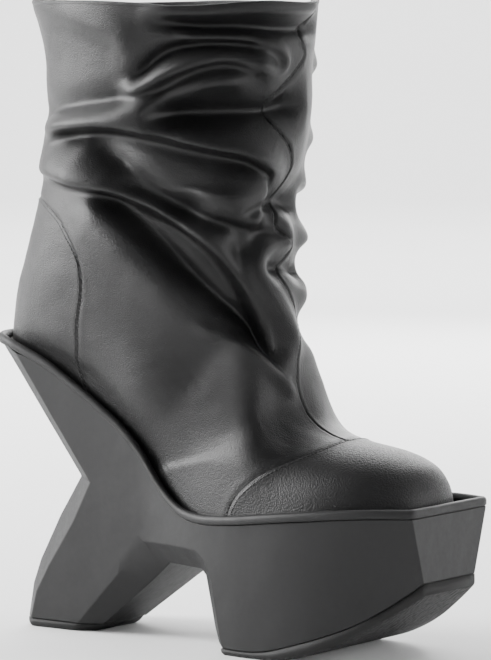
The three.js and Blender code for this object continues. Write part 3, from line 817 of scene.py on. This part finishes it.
def split(data, triangles, column):
    """Cuts triangles along the line where one column of their points' data is zero."""
    value = data[:, column]
    value = np.where(np.abs(value) < 1e-4, 1e-4, value)
    rows, fresh, kept = list(data), {}, ([], [])

    def crossing(a, b):
        key = (min(a, b), max(a, b))
        if key not in fresh:
            t = value[a] / (value[a] - value[b])
            fresh[key] = len(rows)
            rows.append(data[a] * (1 - t) + data[b] * t)
        return fresh[key]

    signs = value[triangles] > 0
    total = signs.sum(1)
    kept[1].extend(triangles[total == 3].tolist())
    kept[0].extend(triangles[total == 0].tolist())
    for triangle, sign in zip(triangles[(total == 1) | (total == 2)], signs[(total == 1) | (total == 2)]):
        alone = int(np.argmax(sign)) if sign.sum() == 1 else int(np.argmin(sign))
        a, b, c = (int(triangle[(alone + k) % 3]) for k in range(3))
        ab, ac = crossing(a, b), crossing(a, c)
        mine = 1 if sign[alone] else 0
        kept[mine].append([a, ab, ac])
        kept[1 - mine].extend([[ab, b, c], [ab, c, ac]])
    return np.array(rows), np.array(kept[0]), np.array(kept[1])


def panels(net, gaps, start_row=0):
    """The skin's triangles, sorted into toe, heel, outer side and inner side."""
    down, around = net.shape[:2]
    normal = net_normals(net)
    data = np.concatenate([net, normal] + [g[..., None] for g in gaps], axis=2).reshape(-1, 9)
    r, c = np.meshgrid(np.arange(start_row, down - 1), np.arange(around), indexing="ij")
    r, c = r.ravel(), c.ravel()
    n = (c + 1) % around
    a, b, p, q = r * around + c, r * around + n, (r + 1) * around + c, (r + 1) * around + n
    triangles = np.vstack([np.column_stack([a, p, q]), np.column_stack([a, q, b])])
    data, rest, toe = split(data, triangles, 6)
    data, rest, heel = split(data, rest, 7)
    data, outer, inner = split(data, rest, 8)
    return data, {"toe": toe, "heel": heel, "outer": outer, "inner": inner}


def layer_piece(name, data, triangles, depth, thickness, material):
    """One panel of one layer, a given depth below the outer face."""
    used, faces = np.unique(triangles, return_inverse=True)
    points = data[used, :3] - data[used, 3:6] * depth
    piece = new_piece(name, placed(points), faces.reshape(-1, 3).tolist(), material)
    thick = piece.modifiers.new("thickness", "SOLIDIFY")
    thick.thickness = thickness * MILLIMETRE
    thick.offset = -1
    return piece


leather = Finish("slouch_leather", 0.4, specular=0.29)
pores = leather.cells(1900)
wear = leather.noise(26, 4)
leather.colour(leather.blend(wear, (0.0025, 0.0025, 0.0027), (0.006, 0.0058, 0.006)))
leather.roughness(0.29 + pores * 0.14 + wear * 0.08)
fine = leather.bump(1 - pores, 0.00013)
leather.bump(leather.noise(1300, 2), 0.0001, fine)

pebbled = Finish("pebbled_leather", 0.45, specular=0.29)
grains = pebbled.cells(1150)
pebbled.colour(pebbled.blend(pebbled.noise(26, 4), (0.0025, 0.0025, 0.0027), (0.006, 0.0058, 0.006)))
pebbled.roughness(0.38 + grains * 0.2)
pebbled.bump(1 - grains, 0.00017)

skin, skin_gaps = slouched(skin_net)
skin_data, skin_panels = panels(skin, skin_gaps)
for name, panel, node, finish, slot_name in (
        ("outer_side_leather", "outer", "side_panel_lateral", leather, "upper_leather"),
        ("inner_side_leather", "inner", "side_panel_medial", leather, "upper_leather"),
        ("heel_leather", "heel", "heel_panel", leather, "upper_leather"),
        ("toe_cap_leather", "toe", "toe_cap", pebbled, "pebbled_leather")):
    piece = layer_piece(name, skin_data, skin_panels[panel], 0, 1.3, finish.material)
    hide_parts(node)
    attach(piece, "root")

# --- Inner layers --------------------------------------------------------------------------------------
# Behind the leather lie a woven interlining, a moulded heel counter and a toe puff, and next to the
# foot a matt lining leather in four parts. The collar's edge is turned in over a facing strip.
lining = Finish("lining_leather", 0.7, specular=0.3)
lining.colour(lining.blend(lining.noise(30, 4), (0.014, 0.013, 0.012), (0.024, 0.022, 0.02)))
lining.bump(lining.noise(1300, 3), 0.00012)
backer = Finish("interlining_cloth", 0.9, specular=0.2)
weave = backer.node("ShaderNodeTexWave", {"wave_type": "BANDS"}, {"Vector": backer.place, "Scale": 380.0})
backer.colour(backer.blend(weave, (0.19, 0.17, 0.15), (0.28, 0.26, 0.23)))
backer.bump(weave, 0.00015)
board_finish = Finish("fibre_board", 0.85, specular=0.2)
board_finish.colour(board_finish.blend(board_finish.noise(240, 5), (0.17, 0.1, 0.05), (0.3, 0.19, 0.1)))
board_finish.bump(board_finish.noise(900, 3), 0.0001)

facing_rows = 27
plain_gaps = [gap[::2, ::2] for gap in skin_gaps]
layer_data, layer_panels = panels(skin[::2, ::2], plain_gaps, facing_rows // 2)
for name, panel, node, depth, thickness, finish, slot_name in (
        ("outer_interlining", "outer", "interlining_lateral", 1.45, 0.7, backer, "interlining"),
        ("inner_interlining", "inner", "interlining_medial", 1.45, 0.7, backer, "interlining"),
        ("counter", "heel", "heel_counter", 1.45, 0.9, board_finish, "stiffener"),
        ("puff", "toe", "toe_puff", 1.45, 0.9, board_finish, "stiffener"),
        ("outer_quarter_lining", "outer", "quarter_lining_lateral", 2.5, 0.8, lining, "lining_leather"),
        ("inner_quarter_lining", "inner", "quarter_lining_medial", 2.5, 0.8, lining, "lining_leather"),
        ("heel_grip_lining", "heel", "heel_lining", 2.5, 0.8, lining, "lining_leather"),
        ("toe_lining", "toe", "vamp_lining", 2.5, 0.8, lining, "lining_leather")):
    piece = layer_piece(name, layer_data, layer_panels[panel], depth, thickness, finish.material)
    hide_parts(node)
    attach(piece, "root")

normals = net_normals(skin)
edge, outwards, up = skin[0], normals[0] * [1, 1, 0], np.array([0, 0, 1.0])
outwards = outwards / np.linalg.norm(outwards, axis=1, keepdims=True)
facing_lines = [edge + outwards * a + up * b for a, b in (
    (-0.6, -1.4), (-0.35, -0.8), (-0.3, -0.3), (-0.45, 0.1),
    (-0.9, 0.3), (-1.5, 0.3), (-2.1, 0), (-2.5, -0.8))]
leather_rows = 9
facing_lines += [skin[k] - normals[k] * 2.6 for k in range(3, facing_rows + 2, 2)]
grid = len(edge)
facing = new_piece(
    "collar_facing_strip", placed(np.vstack(facing_lines)),
    [(i * grid + k, i * grid + (k + 1) % grid, (i + 1) * grid + (k + 1) % grid, (i + 1) * grid + k)
     for i in range(len(facing_lines) - 1) for k in range(grid)], leather.material)
facing.data.materials.append(lining.material)
for polygon in facing.data.polygons:
    polygon.material_index = 1 if polygon.index >= leather_rows * grid else 0
turned = facing.modifiers.new("thickness", "SOLIDIFY")
turned.thickness, turned.offset = 0.5 * MILLIMETRE, 1
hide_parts("collar_facing")
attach(facing, "root")

# --- Stitching -------------------------------------------------------------------------------------------
# One row of fine black thread beside each seam, about five stitches to the centimetre.
thread = Finish("waxed_thread", 0.4, specular=0.5)
thread.colour(thread.blend(thread.noise(900), (0.002, 0.002, 0.002), (0.006, 0.006, 0.006)))
stitch_rings, stitch_sides = 5, 6


def stitched(name, points, offset, end=1.0):
    """Thread beside a seam, offset in mm, along the given share of its length."""
    spacing, length = 2.1, 1.65
    path = smooth_path(points, 1200)
    along = np.gradient(path, axis=0)
    along /= np.linalg.norm(along, axis=1, keepdims=True)
    path = path + np.column_stack([-along[:, 1], along[:, 0]]) * offset / mm_per_unit
    path = path[(path[:, 1] > 1.2) & (path[:, 1] < 99.2)]
    path = path[:int(end * len(path))]
    course = on_net(skin, path[:, 0], path[:, 1])
    out = on_net(normals, path[:, 0], path[:, 1])
    run = np.concatenate([[0], np.cumsum(np.linalg.norm(np.diff(course, axis=0), axis=1))])
    points, faces = [], []
    for begin in np.arange(1.0, run[-1] - 2.2, spacing):
        at = begin + np.linspace(0, length, stitch_rings)
        centre = np.column_stack([np.interp(at, run, course[:, k]) for k in range(3)])
        face = np.column_stack([np.interp(at, run, out[:, k]) for k in range(3)])
        ahead = np.gradient(centre, axis=0)
        side = np.cross(ahead, face)
        side /= np.maximum(np.linalg.norm(side, axis=1, keepdims=True), 1e-6)
        first = len(points)
        for i in range(stitch_rings):
            arch = math.sin(math.pi * (i + 0.35) / (stitch_rings - 0.3))
            for k in range(stitch_sides):
                angle = 2 * math.pi * k / stitch_sides
                points.append(centre[i] + face[i] * (0.26 * arch - 0.1 + 0.2 * math.sin(angle))
                              + side[i] * 0.21 * math.cos(angle))
        for i in range(stitch_rings - 1):
            for k in range(stitch_sides):
                n = (k + 1) % stitch_sides
                faces.append((first + i * stitch_sides + k, first + i * stitch_sides + n,
                              first + (i + 1) * stitch_sides + n, first + (i + 1) * stitch_sides + k))
    piece = new_piece(name, placed(points), faces, thread.material)
    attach(piece, "root")


stitched("toe_seam_stitches", toe_seam, 1.5)
stitched("heel_seam_stitches", heel_seam, -1.3)
stitched("front_seam_stitches", front_seam, 1.3, 0.73)

# --- Footbed ---------------------------------------------------------------------------------------------
# Under the foot, from the bottom: a cork filler, the insole board with its steel shank, nails and
# rivets, a sheet of foam with a softer pad let in at the heel, and the leather sock on top.


def bed_sheet(name, start, end, inset, low, high, finish, node, corner=0.6, width=None):
    """A sheet on the seat, from low to high above it: the foot's outline less an inset, or its own width."""
    from_end = np.array([0, 0.3, 1, 2.2, 4, 7])
    xs = np.unique(np.concatenate([start + from_end, np.arange(start + 10, end - 9, 4), end - from_end]))
    rings = []
    for x in xs:
        rounding = math.sqrt(max(1 - max(1 - (x - start) / 9, 1 - (end - x) / 12, 0) ** 2, 0.02))
        if width is None:
            half = max(float(foot_half(x)) - inset, 0.5) * (0.55 + 0.45 * rounding)
        else:
            half = width * rounding
        base = float(seat_height(x))
        side = [(-half + corner, low), (-half, low + corner), (-half, high - corner), (-half + corner, high)]
        top = [(y, high) for y in np.linspace(-half + corner, half - corner, 7)[1:-1]]
        ring = side + top + [(-y, z) for y, z in reversed(side)] + [(-y, low) for y, _ in top]
        rings.append([(x, y, base + z) for y, z in ring])
    points, faces = lofted(rings)
    piece = outward(new_piece(name, placed(points), faces, finish.material))
    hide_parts(node)
    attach(piece, "root")
    return piece


foam = Finish("footbed_foam", 0.95, specular=0.1)
foam.colour(foam.blend(foam.cells(900), (0.06, 0.062, 0.068), (0.12, 0.122, 0.13)))
foam.bump(foam.cells(900), 0.0002)
cork = Finish("cork_granules", 0.9, specular=0.2)
cork.colour(cork.blend(cork.cells(420), (0.17, 0.09, 0.035), (0.42, 0.27, 0.14)))
cork.bump(cork.cells(420), 0.0003)
steel = Finish("brushed_steel", 0.35, metallic=1.0)
steel.colour(steel.blend(steel.noise(700), (0.36, 0.37, 0.38), (0.5, 0.51, 0.52)))

bed_sheet("sock", 9, 244, 5, 7.9, 8.9, lining, "sock_lining", 0.4)
foam_sheet = bed_sheet("foam_sheet", 9, 244, 5, 4.6, 7.6, foam, "footbed_foam", 0.8)
pad = bed_sheet("heel_cushion", 21.5, 56.5, 0, 4.9, 7.8, foam, "heel_pad", 0.9, 15)
bed_sheet("insole", 8, 245, 4.6, 2.1, 4.3, board_finish, "insole_board", 0.3)

steel_nodes = ["steel_shank", *(f"shank_rivet_{k}" for k in (1, 2)),
               *(f"heel_seat_nail_{k}" for k in (1, 2, 3, 4))]
for node, finish in [(name, steel) for name in steel_nodes] + [("cork_filler", cork)]:
    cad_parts[node].data.materials.clear()
    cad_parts[node].data.materials.append(finish.material)
